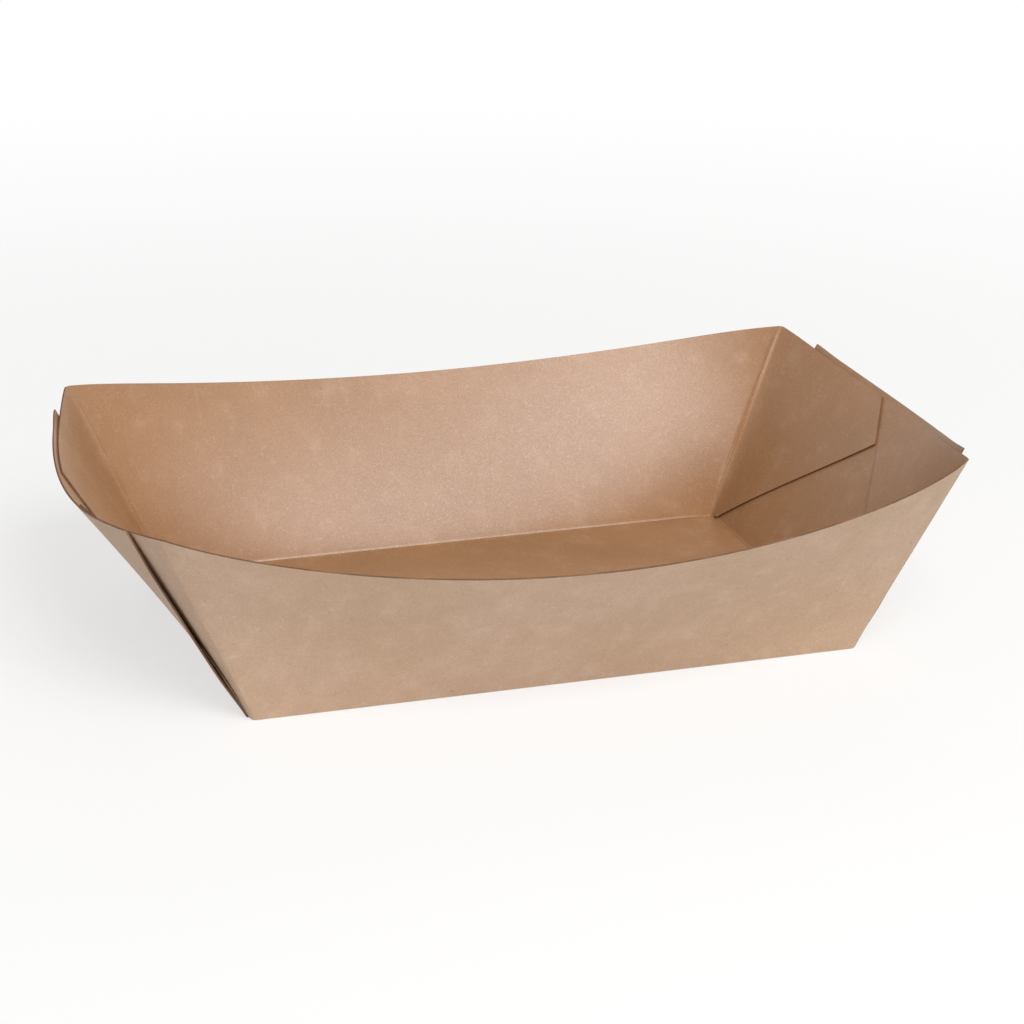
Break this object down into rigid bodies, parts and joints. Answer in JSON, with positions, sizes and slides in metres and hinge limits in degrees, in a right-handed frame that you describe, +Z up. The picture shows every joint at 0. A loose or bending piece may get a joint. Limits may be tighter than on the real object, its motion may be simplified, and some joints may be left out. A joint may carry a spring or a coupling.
{
  "type": "paper food tray",
  "caption": "Open food tray folded from one sheet of plain brown board, with leaning, bowed walls and glued corner flaps.",
  "frame": {"origin": "middle of the underside of the bottom panel", "axes": "+X along the tray's length, +Y across it towards the back long wall, +Z up out of the open top"},
  "size_m": [0.219, 0.15, 0.05],
  "materials": {
    "brown_board": "matt, unprinted"
  },
  "bodies": {
    "root": {"food_tray": "brown_board"}
  },
  "joints": []
}
